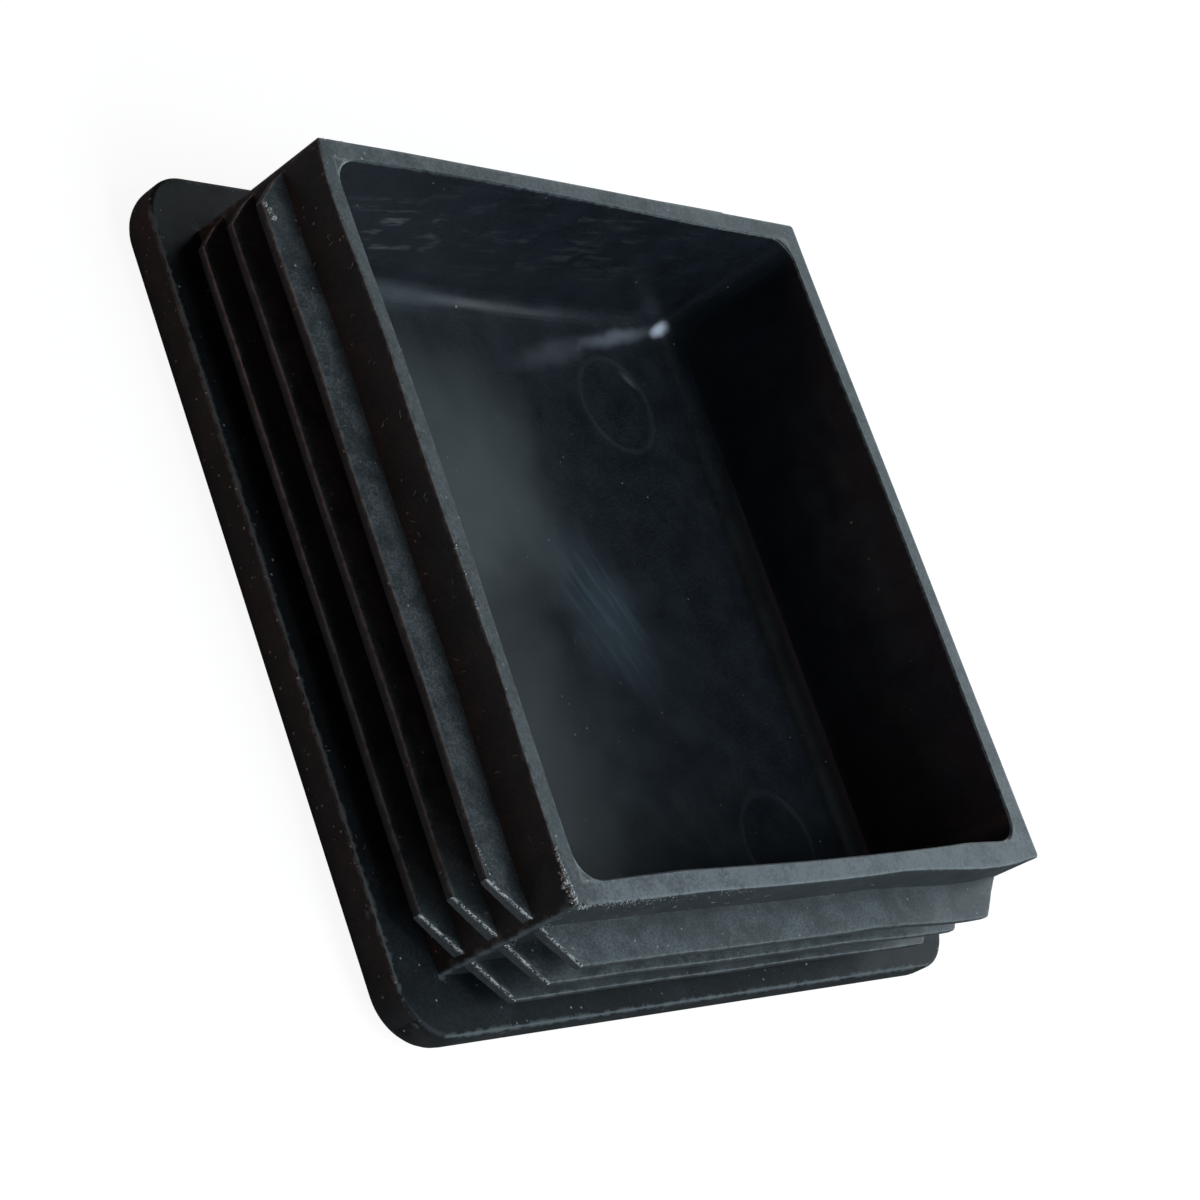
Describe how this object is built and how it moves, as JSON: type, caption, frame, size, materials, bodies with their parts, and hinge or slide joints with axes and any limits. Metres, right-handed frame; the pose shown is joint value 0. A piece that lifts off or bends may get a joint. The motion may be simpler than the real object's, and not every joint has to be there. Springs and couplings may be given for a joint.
{
  "type": "fence post cap",
  "caption": "Square plug-in end cap for a hollow fence post, with a flat rounded head and an open ribbed spigot that grips inside the post.",
  "frame": {"origin": "middle of the head's flat outer face", "axes": "+Z from the head towards the spigot's open rim, X and Y square to the post's walls; the cap lies head down"},
  "size_m": [0.06, 0.06, 0.0155],
  "materials": {
    "cap_plastic": "anthracite, semi-matt as moulded"
  },
  "bodies": {
    "root": {"post_cap": "cap_plastic"}
  },
  "joints": []
}
